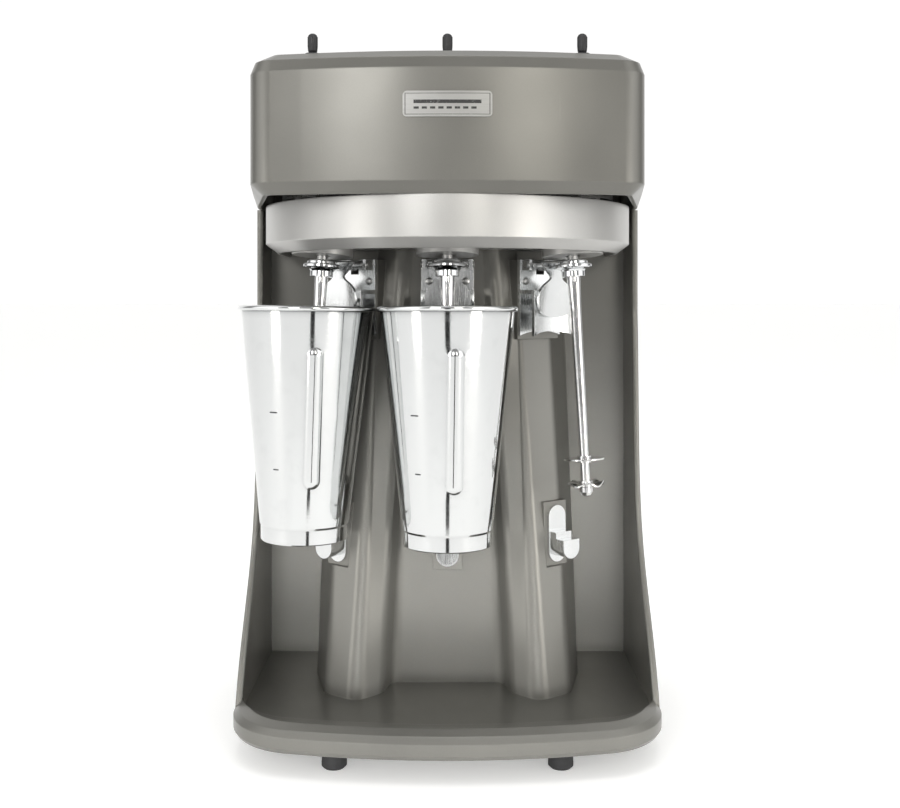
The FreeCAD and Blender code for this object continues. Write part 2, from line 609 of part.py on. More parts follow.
lower_brackets = []
upper_brackets = []
bearings = []
grommets = []
mount_screws = []
through_bolts = []
holders = []
brushes = []
for station in STATIONS:
    tag, frame = station.name.title(), station.spindle

    # lower bracket: a round plate with the bearing's seat and two posts under the stator
    plate = turned(tag + "LowerPlate", [("housing_rad - 5", "motor_z"), ("motor_rad", "motor_z"),
                                        ("motor_rad", "motor_z + bracket_thick"),
                                        ("housing_rad", "motor_z + bracket_thick"),
                                        ("housing_rad", "motor_z + bracket_thick + bearing_wide"),
                                        ("bearing_rad + clearance / 2", "motor_z + bracket_thick + bearing_wide"),
                                        ("bearing_rad + clearance / 2", "motor_z + bracket_thick"),
                                        ("housing_rad - 5", "motor_z + bracket_thick")], frame)
    posts = [rod(f"{tag}LowerPost{k}", "post_rad", "stator_low - motor_z - 1", (0, f"{k} * post_r", "motor_z + 1"),
                 place=frame) for k in (-1, 1)]
    drills = [rod(f"{tag}LowerDrill{k}", "bolt_rad + clearance", 60, (0, f"{k} * post_r", 0), place=frame)
              for k in (-1, 1)]
    drills += [rod(f"{tag}MountDrill{k}", "bolt_rad + clearance", 60, (f"{k} * grommet_r", 0, 0), place=frame)
               for k in (-1, 1)]
    lower_brackets.append(cut(tag + "LowerBracket", fuse(tag + "LowerCasting", plate, *posts), *drills))

    # upper bracket: the same plate turned over, its posts standing on the stator
    plate = turned(tag + "UpperPlate", [("housing_rad - 7", "upper_z + bracket_thick"),
                                        ("housing_rad - 7", "upper_z"),
                                        ("bearing_rad + clearance / 2", "upper_z"),
                                        ("bearing_rad + clearance / 2", "upper_z - bearing_wide"),
                                        ("housing_rad", "upper_z - bearing_wide"), ("housing_rad", "upper_z"),
                                        ("motor_rad", "upper_z"), ("motor_rad", "upper_z + bracket_thick")], frame)
    posts = [rod(f"{tag}UpperPost{k}", "post_rad", "upper_z - stator_high + 1", (0, f"{k} * post_r", "stator_high"),
                 place=frame) for k in (-1, 1)]
    drills = [rod(f"{tag}UpperDrill{k}", "bolt_rad + clearance", 60, (0, f"{k} * post_r", "stator_high - 1"),
                  place=frame) for k in (-1, 1)]
    upper_brackets.append(cut(tag + "UpperBracket", fuse(tag + "UpperCasting", plate, *posts), *drills))

    # bearings, one in each bracket
    for level, low in (("Lower", "motor_z + bracket_thick"), ("Upper", "upper_z - bearing_wide")):
        bearings.append(turned(f"{tag}{level}Bearing", [("shaft_rad + shaft_play", low), ("bearing_rad", low),
                                                        ("bearing_rad", low + " + bearing_wide"),
                                                        ("bearing_rad - 2", low + " + bearing_wide"),
                                                        ("bearing_rad - 2.4", low + " + bearing_wide - 0.6"),
                                                        ("shaft_rad + 2.4", low + " + bearing_wide - 0.6"),
                                                        ("shaft_rad + 2", low + " + bearing_wide"),
                                                        ("shaft_rad + shaft_play", low + " + bearing_wide")], frame))

    # stator: the laminated ring between the brackets, with two copper coils above and below it
    lamination = turned(tag + "Lamination", [("core_rad + core_gap", "stator_low"), ("motor_rad", "stator_low"),
                                             ("motor_rad", "stator_high"), ("core_rad + core_gap", "stator_high")],
                        frame)
    drills = [rod(f"{tag}StatorDrill{k}", "bolt_rad + clearance", 60, (0, f"{k} * post_r", "stator_low - 5"),
                  place=frame) for k in (-1, 1)]
    core = cut(tag + "StatorCore", lamination, *drills)
    coils = []
    for k, low in ((-1, "stator_low - coil_tall"), (1, "stator_high")):
        winding = turned(f"{tag}Winding{k}", [("core_rad + 2", low), ("post_r - post_rad - 0.5", low),
                                              ("post_r - post_rad - 0.5", low + " + coil_tall"),
                                              ("core_rad + 2", low + " + coil_tall")], frame)
        coils.append(winding)
    group(station.name + "_motor_stator", [core] + coils)

    # armature: shaft, wound core and commutator, running in the two bearings
    keep(station.name + "_armature",
         turned(tag + "Armature", [(0, "shaft_low"), ("shaft_rad", "shaft_low"), ("shaft_rad", "stator_low - 4"),
                                   ("core_rad - 3", "stator_low - 4"), ("core_rad - 3", "stator_low"),
                                   ("core_rad", "stator_low"), ("core_rad", "stator_high"),
                                   ("core_rad - 3", "stator_high"), ("core_rad - 3", "stator_high + 4"),
                                   ("commutator_rad", "stator_high + 4"), ("commutator_rad", "commutator_high"),
                                   ("shaft_rad", "commutator_high"), ("shaft_rad", "shaft_top"),
                                   (0, "shaft_top")], frame))

    # cooling fan: a disc with eight straight blades, pressed on the shaft under the armature
    disc = turned(tag + "FanDisc", [("shaft_rad", "fan_low"), ("fan_rad", "fan_low"), ("fan_rad", "fan_low + 1.4"),
                                    ("8", "fan_low + 1.4"), ("7", "fan_low + fan_tall"),
                                    ("shaft_rad", "fan_low + fan_tall")], frame)
    blades = []
    for k in range(8):
        turn = frame.multiply(Placement(Vector(), Rotation(Vector(0, 0, 1), 45 * k)))
        blades.append(block(f"{tag}Blade{k}", ("fan_rad - 7.5", 1.2, "fan_tall - 2.4"), (7.4, -0.6, "fan_low + 1.2"),
                            place=turn))
    keep(station.name + "_cooling_fan", fuse(tag + "Fan", disc, *blades))

    # rubber grommets between the tray's floor and the lower bracket, and the screws down through them
    for k in (-1, 1):
        x = k * dim("grommet_r")
        bush = Part.makeCylinder(dim("grommet_rad"), dim("motor_z") + 10, Vector(x, 0, -10))
        bush = bush.cut(Part.makeCylinder(dim("bolt_rad") + 0.1, 60, Vector(x, 0, -20)))
        top = dim("tray_floor") + dim("tray_floor_thick")
        grommets.append(flat_piece(f"{tag}Grommet{k}", placed(bush, frame).cut(slab((-200, 200), (-200, 200),
                                                                                    (200, top)))))
        spot = frame.multiply(Placement(Vector(x, 0, dim("motor_z") + dim("bracket_thick")), Rotation()))
        mount_screws.append(turned(f"{tag}MountScrew{k}", [(0, -15.5), ("bolt_rad", -15.5), ("bolt_rad", 0),
                                                           ("2.7", 0), ("2.7", 1.6), ("2", 2.2), (0, 2.2)], spot))
        spot = frame.multiply(Placement(Vector(0, k * dim("post_r"), 0), Rotation()))
        through_bolts.append(turned(f"{tag}ThroughBolt{k}", [(0, "motor_z - 2"), ("3.2", "motor_z - 2"),
                                                             ("3.2", "motor_z"), ("bolt_rad", "motor_z"),
                                                             ("bolt_rad", "upper_z + bracket_thick"),
                                                             ("3.2", "upper_z + bracket_thick"),
                                                             ("3.2", "upper_z + bracket_thick + 2.4"),
                                                             (0, "upper_z + bracket_thick + 2.4")], spot))

    # brush holders hang from the upper bracket; each carbon brush points at the commutator
    for k in (-1, 1):
        turn = frame.multiply(Placement(Vector(), Rotation(Vector(0, 0, 1), 90 - 90 * k)))
        tube = block(f"{tag}BrushTube{k}", (14, 8, 8), (14, -4, "brush_z - 4"), place=turn)
        arm = block(f"{tag}BrushArm{k}", (5, 8, "upper_z - brush_z + 4"), (23, -4, "brush_z - 4"), place=turn)
        bore = block(f"{tag}BrushBore{k}", (30, "2 * brush_half", "2 * brush_half"),
                     (5, "-brush_half", "brush_z - brush_half"), place=turn)
        holders.append(cut(f"{tag}BrushHolder{k}", fuse(f"{tag}BrushFrame{k}", tube, arm), bore))
        brushes.append(block(f"{tag}Brush{k}", (11, "2 * brush_half - 0.2", "2 * brush_half - 0.2"),
                             ("commutator_rad + 0.3", "-brush_half + 0.1", "brush_z - brush_half"), place=turn))

group("motor_lower_brackets", lower_brackets)
group("motor_upper_brackets", upper_brackets)
group("motor_bearings", bearings)
group("motor_grommets", grommets)
group("motor_mount_screws", mount_screws)
group("motor_through_bolts", through_bolts)
group("brush_holders", holders)
group("carbon_brushes", brushes)

# ---------------------------------------------------------------- spindles and agitators

def wavy_disc(radius, bore, height, thick, wave, count):
    """A thin washer whose outer edge rises and falls, as a ruled solid."""
    steps = 12 * count
    faces = []
    rings = []
    for level in (height - thick / 2, height + thick / 2):
        inner = Part.Circle(Vector(0, 0, level), Vector(0, 0, 1), bore).toShape()
        curve = Part.BSplineCurve()
        points = [Vector(radius * math.cos(2 * math.pi * k / steps), radius * math.sin(2 * math.pi * k / steps),
                         level + wave * math.sin(2 * math.pi * k * count / steps)) for k in range(steps)]
        curve.interpolate(points, PeriodicFlag=True)
        outer = curve.toShape()
        rings.append((inner, outer))
        faces.append(Part.makeRuledSurface(inner, outer))
    faces.append(Part.makeRuledSurface(rings[0][0], rings[1][0]))
    faces.append(Part.makeRuledSurface(rings[0][1], rings[1][1]))
    shell = Part.Shell([face for part in faces for face in part.Faces])
    solid = Part.Solid(shell)
    solid.fixTolerance(1e-4)
    return solid


for station in STATIONS:
    tag, frame = station.name.title(), station.spindle
    keep(station.name + "_spindle_nose",
         turned(tag + "Nose", [("shaft_rad", "cap_top"), ("shaft_rad + 2.5", "cap_top"),
                               ("cap_rad - 1", "cap_top - 0.6"), ("cap_rad", "cap_top - 1.6"),
                               ("cap_rad", "brim_top"), ("brim_rad - 0.6", "brim_top"),
                               ("brim_rad", "brim_top - 0.8"), ("brim_rad", "cap_low + 0.6"),
                               ("brim_rad - 0.8", "cap_low"), ("hub_rad + 1", "cap_low - 1"),
                               ("hub_rad", "cap_low - 2.4"),
                               ("hub_rad", "hub_low"), ("stud_rad + shaft_play", "hub_low"),
                               ("stud_rad + shaft_play", "stud_top"), (0, "stud_top"), (0, "shaft_low"),
                               ("shaft_rad", "shaft_low")], frame))
    keep(station.name + "_agitator_shaft",
         turned(tag + "Stem", [(0, "stud_top"), ("stud_rad", "stud_top"), ("stud_rad", "hub_low"),
                               ("stem_top_rad", "hub_low"), ("stem_top_rad", "hub_low - 4"),
                               ("stem_top_rad - 0.6", "hub_low - 22"), ("stem_low_rad + 0.4", "disc_upper_z + 40"),
                               ("stem_low_rad", "disc_upper_z + 4"), ("stem_low_rad", "disc_lower_z - 2.4"),
                               ("stem_low_rad + 1.6", "disc_lower_z - 2.4"),
                               ("stem_low_rad + 1.6", "stem_low + 3.4"), ("stem_low_rad", "stem_low + 0.8"),
                               ("stem_low_rad - 2", "stem_low"), (0, "stem_low")], frame))
    bore = dim("stem_low_rad")
    height = dim("disc_upper_z")
    upper = Part.makeCylinder(dim("disc_upper_rad"), dim("disc_thick"), Vector(0, 0, height))
    collar = Part.makeCylinder(bore + 1.8, 5, Vector(0, 0, height - 2))
    upper = upper.fuse(collar).cut(Part.makeCylinder(bore, 30, Vector(0, 0, height - 15)))
    lower = wavy_disc(dim("disc_lower_rad"), bore + 1.2, dim("disc_lower_z"), dim("disc_thick"),
                      dim("disc_wave"), 5)
    collar = Part.makeCylinder(bore + 1.6, 4.4, Vector(0, 0, dim("disc_lower_z") - 2.2))
    collar = collar.cut(Part.makeCylinder(bore, 30, Vector(0, 0, dim("disc_lower_z") - 15)))
    lower = lower.fuse(collar)
    discs = doc.addObject("Part::Feature", tag + "Discs")
    discs.Shape = Part.makeCompound([upper.removeSplitter(), lower])
    discs.Placement = frame
    keep(station.name + "_agitator_discs", discs)

# ---------------------------------------------------------------- cup guides, switch levers and cup rests

bracket_screws = []
pins = []
switches = []
for side, station in zip((-1, 0, 1), STATIONS):
    tag, frame = station.name.title(), station.mount

    # guide: a back plate with ears for the lever's pin, and a shelf that carries a curved front with a window.
    # The cup's rim slides up between the front and the column.
    plate_y = "guide_back_y - guide_plate"
    wide = "2 * guide_half"
    plate = block(tag + "GuidePlate", (wide, "guide_plate", "guide_top - guide_low"),
                  ("-guide_half", plate_y, "guide_low"), place=frame)
    shelf = block(tag + "GuideShelf", (wide, 22, "shelf_top - shelf_low"),
                  ("-guide_half", "guide_back_y - 22", "shelf_low"), place=frame)
    drum = rod(tag + "GuideDrum", "band_rad + band_thick", "shelf_top - guide_low", (0, 0, "guide_low"), place=frame)
    strip = block(tag + "GuideStrip", (wide, 30, 60), ("-guide_half", 30, "guide_low - 10"), place=frame)
    band = shared(tag + "GuideBand", drum, strip)
    round_bore = rod(tag + "GuideBore", "band_rad", 60, (0, 0, "guide_low - 20"), place=frame)
    window = block(tag + "GuideWindow", ("2 * window_half", 16, "shelf_low - band_top"),
                   ("-window_half", 30, "band_top"), place=frame)
    ears = [block(f"{tag}Ear{k}", (2.5, "guide_back_y - pivot_y + 2.5", 8.5),
                  (x, "pivot_y - 3", "guide_top - 8.5"), place=frame)
            for k, x in enumerate((-19.5, 17))]
    arch = rod(tag + "GuideArch", 62, 30, (0, 30, "guide_low - 58.4"), axis=(0, 1, 0), place=frame)
    slot = block(tag + "GuideSlot", (8, 10, 13), (-4, "guide_back_y - 5", 349.5), place=frame)
    hole = rod(tag + "PinHole", "pin_rad + clearance / 5", 60, (-30, "pivot_y", "pivot_z"), axis=(1, 0, 0),
               place=frame)
    drills = [rod(f"{tag}GuideDrill{k}", 1.6, 20, (f"{k} * guide_screw_x", 45, "guide_screw_z"), axis=(0, 1, 0),
                  place=frame) for k in (-1, 1)]
    body = fuse(tag + "GuideBlank", plate, shelf, band, *ears)
    keep(station.name + "_cup_guide", cut(tag + "Guide", body, round_bore, window, arch, slot, hole, *drills))

    # the pin through the ears, headed at both ends
    spot = frame.multiply(Placement(Vector(0, dim("pivot_y"), dim("pivot_z")), Rotation(Vector(0, 1, 0), 90)))
    pins.append(turned(tag + "Pin", [(0, -21), ("2.4", -21), ("2.4", -19.5), ("pin_rad", -19.5),
                                     ("pin_rad", 19.5), ("2.4", 19.5), ("2.4", 21), (0, 21)], spot))

    # switch lever: a round lobe in front of the band, a waist and a flared top that turns on the pin,
    # a finger back over the band to the cup's rim, and a tail back to the switch
    y, z = dim("pivot_y"), dim("pivot_z")
    front = dim("lobe_front_y")
    right = [(9.5, 317.4), (15.2, 321.6), (17.7, 329.5), (15.9, 337.5), (10.2, 343), (5.6, 346.8), (8.2, 350.6),
             (15.4, 358.6)]
    curve = Part.BSplineCurve()
    curve.interpolate([Vector(-u, front, v) for u, v in reversed(right[:-1])] + [Vector(0, front, 316.3)]
                      + [Vector(u, front, v) for u, v in right[:-1]])
    corners = [curve.EndPoint, Vector(15.4, front, 358.6), Vector(-15.4, front, 358.6), curve.StartPoint]
    edges = [curve.toShape()] + [Part.LineSegment(a, b).toShape() for a, b in zip(corners, corners[1:])]
    face = Part.Face(Part.Wire(edges)).extrude(Vector(0, dim("lobe_thick"), 0))
    knuckle = Part.makeCylinder(dim("knuckle_rad"), 32, Vector(-16, y, z), Vector(1, 0, 0))
    web = slab((-8, 8), (front + 1, y), (352.5, 358.6))
    tail = slab((-3, 3), (y, dim("tail_y")), (z - 3.3, z - 0.8))
    finger = drill(dim("finger_rad"), (0, front + 1, dim("finger_z")), (0, 1, 0), dim("finger_y") - front - 1)
    solid = face.fuse([knuckle, web, tail, finger])
    solid = solid.cut(Part.makeCylinder(dim("pin_rad") + dim("shaft_play"), 60, Vector(-30, y, z), Vector(1, 0, 0)))
    solid.translate(Vector(0, -y, -z))
    lever = doc.addObject("Part::Feature", tag + "Lever")
    lever.Shape = solid.removeSplitter()
    lever.Placement = station.lever
    keep(station.name + "_switch_lever", lever)

    # microswitch behind the casting, and its plunger under the lever's tail
    arm = dim("switch_y") + 5 - dim("pivot_y")
    lift = 0 if side < 1 else arm * math.sin(math.radians(dim("lever_free")))
    case = block(tag + "SwitchCase", (20, 10, 14), (-10, "switch_y", "switch_top - 14"), place=frame)
    bore = rod(tag + "SwitchBore", "plunger_rad + 0.05", 10, (0, "switch_y + 5", "switch_top - 9"), place=frame)
    terminals = [block(f"{tag}Terminal{k}", (4, 0.8, 6), (x, "switch_y + 4.6", "switch_top - 19.9"), place=frame)
                 for k, x in enumerate((-8, -2, 4))]
    switches.append(fuse(tag + "Switch", cut(tag + "SwitchHousing", case, bore), *terminals))
    keep(station.name + "_switch_plunger",
         turned(tag + "Plunger", [(0, -6), ("plunger_rad", -6), ("plunger_rad", -0.8), ("plunger_rad - 0.6", 0),
                                  (0, 0)],
                frame.multiply(Placement(Vector(0, dim("switch_y") + 5, dim("pivot_z") - 3.6 + lift), Rotation()))))

    # rest: an upright plate with round ends, a step under the cup's foot ring and a longer nose under the step
    frame = station.cup
    front_y, back_y = dim("rest_back_y") - dim("rest_plate"), dim("rest_back_y")
    half, up, down = dim("rest_half"), dim("rest_up"), dim("rest_down")
    plate = slab((-half, half), (front_y, back_y), (-down + half, up - half))
    plate = plate.fuse([drill(half, (0, front_y, z), (0, 1, 0), back_y - front_y) for z in (-down + half, up - half)])
    wide, top, nose_y = dim("nose_half"), dim("nose_top"), dim("nose_front_y")
    under = top - dim("nose_tall")
    nose = slab((-wide, wide), (nose_y, front_y + 1), (under, top))
    nose = nose.fuse(drill(wide, (0, nose_y, under), (0, 1, 0), front_y + 1 - nose_y))
    nose = nose.common(slab((-wide, wide), (nose_y, front_y + 1), (-40, top)))
    wide = dim("step_half")
    step = slab((-wide, wide), (dim("step_front_y"), front_y + 1), (dim("step_low"), dim("step_top")))
    solid = plate.fuse([nose, step])
    solid = solid.cut([drill(1.55, (0, front_y + 0.7, z), (0, 1, 0), 5) for z in (-12, 12)])
    rest = doc.addObject("Part::Feature", tag + "Rest")
    rest.Shape = solid.removeSplitter()
    rest.Placement = frame
    keep(station.name + "_cup_rest", rest)

    # screws: the guide's from the front, the rest's from inside the column
    for k in (-1, 1):
        spot = station.mount.multiply(Placement(Vector(k * dim("guide_screw_x"),
                                                       dim("guide_back_y") - dim("guide_plate"),
                                                       dim("guide_screw_z")), Rotation(Vector(1, 0, 0), 90)))
        bracket_screws.append(turned(f"{tag}GuideScrew{k}", [(0, -12), ("1.5", -12), ("1.5", 0), ("3", 0),
                                                             ("2.6", 1.2), ("1.4", 1.7), (0, 1.8)], spot))
    seat = rest_screw_seat(station)
    for k, z in enumerate((-12, 12)):
        spot = station.cup.multiply(Placement(Vector(0, seat, z), Rotation(Vector(1, 0, 0), -90)))
        reach = seat - front_y - 1
        bracket_screws.append(turned(f"{tag}RestScrew{k}", [(0, -reach), ("1.5", -reach), ("1.5", 0), ("3", 0),
                                                            ("2.6", 1.2), ("1.4", 1.7), (0, 1.8)], spot))

group("bracket_screws", bracket_screws)
group("lever_pins", pins)
group("microswitches", switches)

# ---------------------------------------------------------------- toggle switches

bodies = []
nuts = []
for name, side in (("left", -1), ("centre", 0), ("right", 1)):
    tag = "Toggle" + name.title()
    spot = Placement(Vector(side * dim("toggle_x"), dim("toggle_y"), 0), Rotation())
    case = block(tag + "Case", (18, 15, 20), (-9, -7.5, "toggle_pivot_z - 25"), place=spot)
    bushing = turned(tag + "Bushing", [("bushing_bore", "toggle_pivot_z - 5.5"), ("bushing_rad", "toggle_pivot_z - 5.5"),
                                       ("bushing_rad", "head_top + 4"), ("bushing_rad - 0.6", "head_top + 4.6"),
                                       ("bushing_bore", "head_top + 4.6")], spot)
    pivot = rod(tag + "PivotHole", "trunnion_rad + shaft_play", 14, (-7, 0, "toggle_pivot_z"), axis=(1, 0, 0),
                place=spot)
    bodies.append(cut(tag + "Body", fuse(tag + "Frame", case, bushing), pivot))
    hexagon = [(round(math.cos(math.radians(60 * k)), 5), round(math.sin(math.radians(60 * k)), 5)) for k in range(6)]
    nut = pressed(tag + "NutBlank", [(f"{a} * nut_rad", f"{b} * nut_rad") for a, b in hexagon], "XY_Plane",
                  "head_top", "nut_tall", spot)
    bore = rod(tag + "NutBore", "bushing_rad + clearance / 2", 20, (0, 0, "head_top - 5"), place=spot)
    nuts.append(cut(tag + "Nut", nut, bore))
    spot = Placement(Vector(side * dim("toggle_x"), dim("toggle_y"), dim("toggle_pivot_z")), Rotation())
    bat = turned(tag + "Bat", [(0, -3.2), ("1.8", -2.8), ("3", -1), ("3", 1), ("bat_low_rad", 3),
                               ("bat_low_rad", 6.2), ("bat_rad - 0.3", 8.6), ("bat_rad", 12),
                               ("bat_rad", "toggle_tall - toggle_pivot_z - 2.6"),
                               ("bat_rad - 0.8", "toggle_tall - toggle_pivot_z - 1"),
                               ("bat_rad - 2", "toggle_tall - toggle_pivot_z - 0.1"),
                               (0, "toggle_tall - toggle_pivot_z")], spot)
    pivot = rod(tag + "Trunnion", "trunnion_rad", 10.6, (-5.3, 0, 0), axis=(1, 0, 0), place=spot)
    keep(name + "_toggle_lever", fuse(tag + "Lever", bat, pivot))
group("toggle_switch_bodies", bodies)
group("toggle_nuts", nuts)

# ---------------------------------------------------------------- cups

for station, turn in zip(STATIONS[:2], (49, 7.5)):
    tag = station.name.title()
    frame = station.cup.multiply(Placement(Vector(), Rotation(Vector(0, 0, 1), turn)))
    wall = turned(tag + "CupWall", [(0, "cup_recess"), ("cup_low_rad - 2.2", "cup_recess"),
                                    ("cup_low_rad - cup_skin", "cup_recess - 1.6"), ("cup_low_rad - cup_skin", 0.6),
                                    ("cup_low_rad - 0.6", 0), ("cup_low_rad", 0.8), ("cup_low_rad + 0.2", "cup_foot"),
                                    ("cup_low_rad + 1", "cup_foot + 1.6"),
                                    ("cup_top_rad", "cup_tall - roll_rad"),
                                    ("cup_top_rad - cup_skin", "cup_tall - roll_rad"),
                                    ("cup_low_rad + 1 - cup_skin", "cup_foot + 2.4"),
                                    ("cup_low_rad - 3", "cup_recess + cup_skin"), (0, "cup_recess + cup_skin")],
                  frame)
    roll = doc.addObject("Part::Torus", tag + "CupRoll")
    roll.setExpression("Radius1", bound("cup_top_rad + 0.4"))
    roll.setExpression("Radius2", bound("roll_rad"))
    roll.Placement = frame.multiply(Placement(Vector(0, 0, dim("cup_tall") - dim("roll_rad")), Rotation()))
    slope = math.degrees(math.atan((dim("cup_top_rad") - dim("cup_low_rad") - 1)
                                   / (dim("cup_tall") - dim("roll_rad") - dim("cup_foot") - 1.6)))
    low, high = dim("flute_low"), dim("flute_high")
    rad = dim("flute_rad")
    at = dim("cup_low_rad") + 1 + (low - dim("cup_foot") - 1.6) * math.tan(math.radians(slope))
    flute_spot = Placement(Vector(0, -(at + dim("flute_proud") - rad), low), Rotation(Vector(1, 0, 0), slope))
    flute_frame = frame.multiply(flute_spot)
    skins = []
    for name, radius in (("Out", rad), ("In", rad - dim("cup_skin"))):
        barrel = Part.makeCylinder(radius, high - low)
        ends = [Part.makeSphere(radius, Vector(0, 0, z)) for z in (0, high - low)]
        capsule = barrel.fuse(ends)
        thing = doc.addObject("Part::Feature", tag + "Flute" + name)
        thing.Shape = capsule
        thing.Placement = flute_frame
        skins.append(thing)
    inside = turned(tag + "CupSpace", [(0, "cup_foot + 6"), ("cup_low_rad - 1", "cup_foot + 6"),
                                       ("cup_top_rad - cup_skin - 0.3", "cup_tall - 12"), (0, "cup_tall - 12")],
                    frame)
    bulge = cut(tag + "FluteRib", skins[0], inside)
    keep(station.name + "_cup", cut(tag + "Cup", fuse(tag + "CupShell", wall, roll, bulge), skins[1]))

# ---------------------------------------------------------------- finish

doc.recompute()
for thing in doc.Objects:
    if any(state in ("Invalid", "Error") for state in thing.State):
        raise RuntimeError(f"{thing.Name} did not recompute: {thing.State}")
for name, thing in NODES.items():
    if thing.Shape.isNull() or not thing.Shape.isValid() or not thing.Shape.Solids:
        raise RuntimeError(f"{name} has no valid solid")
os.makedirs("parts", exist_ok=True)
for name, thing in NODES.items():
    thing.Shape.exportStep(f"parts/{name}.step")
print(len(NODES), "nodes written")
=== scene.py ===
"""Looks of the three-spindle milkshake mixer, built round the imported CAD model."""
import json
import math
import bmesh
import bpy
from mathutils import Matrix, Vector


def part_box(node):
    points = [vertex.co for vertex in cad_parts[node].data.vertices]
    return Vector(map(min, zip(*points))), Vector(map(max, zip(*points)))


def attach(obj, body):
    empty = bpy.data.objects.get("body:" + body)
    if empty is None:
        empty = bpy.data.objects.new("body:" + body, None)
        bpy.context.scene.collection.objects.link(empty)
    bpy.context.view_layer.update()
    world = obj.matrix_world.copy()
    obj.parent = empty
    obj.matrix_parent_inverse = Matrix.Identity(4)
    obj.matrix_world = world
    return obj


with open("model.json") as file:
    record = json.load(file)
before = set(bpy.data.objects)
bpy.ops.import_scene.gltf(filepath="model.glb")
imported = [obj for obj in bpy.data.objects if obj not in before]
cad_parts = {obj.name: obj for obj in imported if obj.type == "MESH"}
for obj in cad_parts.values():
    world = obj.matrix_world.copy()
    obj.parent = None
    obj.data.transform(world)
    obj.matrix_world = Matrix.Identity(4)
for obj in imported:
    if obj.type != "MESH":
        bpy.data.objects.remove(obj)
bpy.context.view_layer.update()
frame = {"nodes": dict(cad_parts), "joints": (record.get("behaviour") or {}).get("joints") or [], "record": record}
NODES = frame["nodes"]
MM = 0.001

# Driving sizes of the CAD model that the extra pieces need, in millimetres and degrees.
RIM_CENTRES = {"left": (-105.3, -29, -35), "centre": (0, -51, 0), "right": (105.3, -29, 35)}
CUP_TALL, RIM_Z, CUP_LEAN = 174.5, 324.5, 1.5
CUP_TOP_RAD, CUP_LOW_RAD, CUP_FOOT, ROLL_RAD = 50, 33.5, 12.6, 2
FLUTE_TURN = {"left": 49, "centre": 7.5}
# Filling marks: degrees from the flute, then each one's height over the foot and width.
MARK_TURN, MARKS = 41, ((97.2, 6.4), (55.6, 4.6))
HEAD_FRONT_RAD = 540
COIL_LOWS, COIL_TALL, COIL_IN, COIL_OUT = (34, 78), 6, 20, 24


# ---------------------------------------------------------------- materials

def set_range(node, from_low, from_high, to_low, to_high):
    """Fills in a Map Range node's four limits."""
    limits = (("From Min", from_low), ("From Max", from_high), ("To Min", to_low), ("To Max", to_high))
    for socket, number in limits:
        node.inputs[socket].default_value = number


